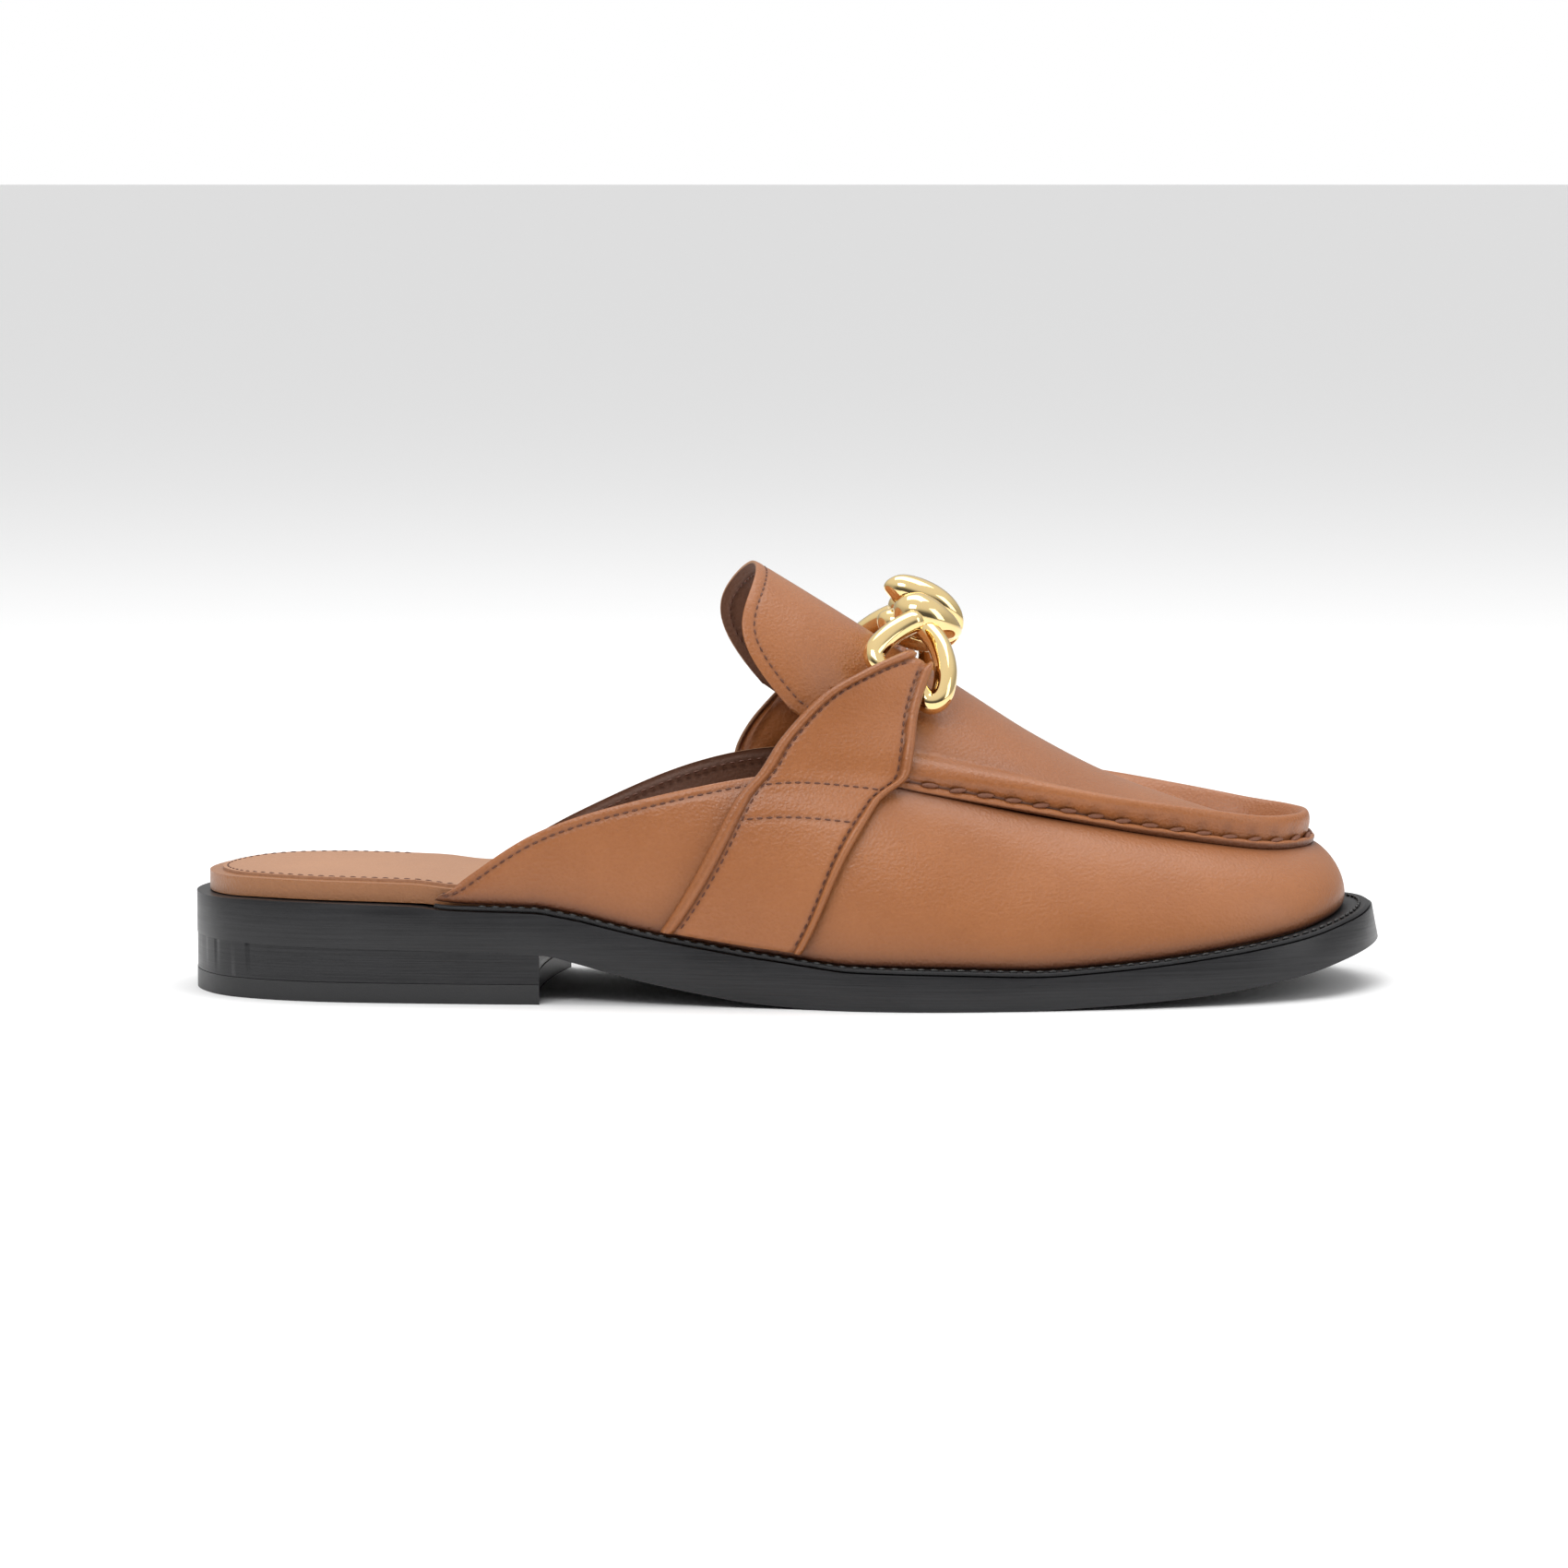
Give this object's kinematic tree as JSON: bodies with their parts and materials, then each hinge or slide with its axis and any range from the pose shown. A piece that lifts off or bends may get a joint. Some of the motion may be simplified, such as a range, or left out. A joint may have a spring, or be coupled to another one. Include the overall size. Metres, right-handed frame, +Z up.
{
  "type": "backless loafer",
  "caption": "Backless leather loafer with a rolled apron seam, round tongue, saddle straps, cast knot ornament, welted sole and low stacked heel.",
  "frame": {"origin": "on the floor under the middle of the whole shoe's bounding box", "axes": "+X from heel to toe, +Y to the medial side, +Z up; the shoe stands on its heel and its ball on the plane Z = 0"},
  "size_m": [0.2668, 0.1, 0.0965],
  "materials": {
    "black_lift": "satin black",
    "black_heel": "burnished black edge with fine level striations",
    "black_sole": "burnished black edge, satin",
    "black_welt": "black, stitched at the toe",
    "footbed_leather": "smooth tan leather over a rounded rim",
    "sock_leather": "matt lighter tan leather, stitched edge",
    "tan_leather": "smooth polished calf leather with fine grain",
    "gold": "polished gold plate"
  },
  "bodies": {
    "root": {"top_lift": "black_lift", "heel_block": "black_heel", "outsole": "black_sole", "welt": "black_welt", "insole": "footbed_leather", "sock_lining": "sock_leather", "upper": "tan_leather", "tongue": "tan_leather", "strap_lateral": "tan_leather", "strap_medial": "tan_leather", "ornament": "gold"}
  },
  "joints": []
}
